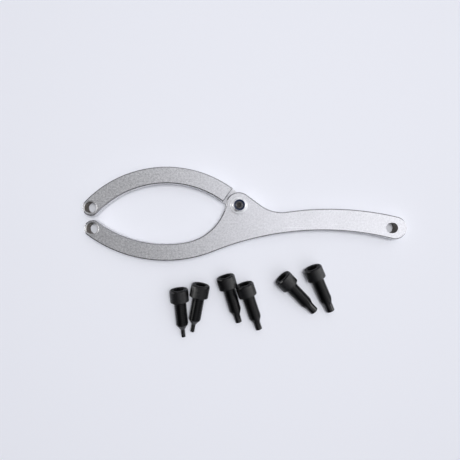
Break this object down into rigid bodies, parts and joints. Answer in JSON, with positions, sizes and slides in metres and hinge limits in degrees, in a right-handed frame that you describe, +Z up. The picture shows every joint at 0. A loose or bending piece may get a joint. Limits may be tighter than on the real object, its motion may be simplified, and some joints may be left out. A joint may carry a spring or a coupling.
{
  "type": "adjustable pin spanner",
  "caption": "Adjustable face-pin spanner: hinged arc jaws with a long handle, threaded tip holes, and loose interchangeable screw-in pins lying beside it.",
  "frame": {"origin": "middle of the footprint of everything, on the surface it lies on", "axes": "+X along the tool from the jaw tips to the handle end, +Y towards the swing arm, +Z up"},
  "size_m": [0.331, 0.1748, 0.0233],
  "materials": {
    "plate_steel": "blasted and plated, satin, fine mottled grain",
    "black_oxide": "black oxide on turned steel, satin",
    "zinc_plate": "bright zinc plate",
    "nylon": "dark blue nylon, satin"
  },
  "bodies": {
    "handle": {"handle_arm": "plate_steel", "pivot_screw": "black_oxide", "pivot_washer": "zinc_plate", "pivot_nut": "zinc_plate", "nut_locking_ring": "nylon"},
    "swing": {"swing_arm": "plate_steel"},
    "small_pin_a": {"small_pin_a": "black_oxide"},
    "small_pin_b": {"small_pin_b": "black_oxide"},
    "medium_pin_a": {"medium_pin_a": "black_oxide"},
    "medium_pin_b": {"medium_pin_b": "black_oxide"},
    "large_pin_a": {"large_pin_a": "black_oxide"},
    "large_pin_b": {"large_pin_b": "black_oxide"}
  },
  "joints": [
    {"name": "arm_pivot", "type": "hinge", "parent": "handle", "child": "swing", "pos_m": [-0.00794, 0.04833, 0.00635], "axis": [0, 0, -1], "range_deg": [-1, 55]},
    {"name": "small_pin_a_lift", "type": "slide", "parent": "handle", "child": "small_pin_a", "axis": [0, 0, 1], "range_m": [0, 0.06]},
    {"name": "small_pin_b_lift", "type": "slide", "parent": "handle", "child": "small_pin_b", "axis": [0, 0, 1], "range_m": [0, 0.06]},
    {"name": "medium_pin_a_lift", "type": "slide", "parent": "handle", "child": "medium_pin_a", "axis": [0, 0, 1], "range_m": [0, 0.06]},
    {"name": "medium_pin_b_lift", "type": "slide", "parent": "handle", "child": "medium_pin_b", "axis": [0, 0, 1], "range_m": [0, 0.06]},
    {"name": "large_pin_a_lift", "type": "slide", "parent": "handle", "child": "large_pin_a", "axis": [0, 0, 1], "range_m": [0, 0.06]},
    {"name": "large_pin_b_lift", "type": "slide", "parent": "handle", "child": "large_pin_b", "axis": [0, 0, 1], "range_m": [0, 0.06]}
  ]
}
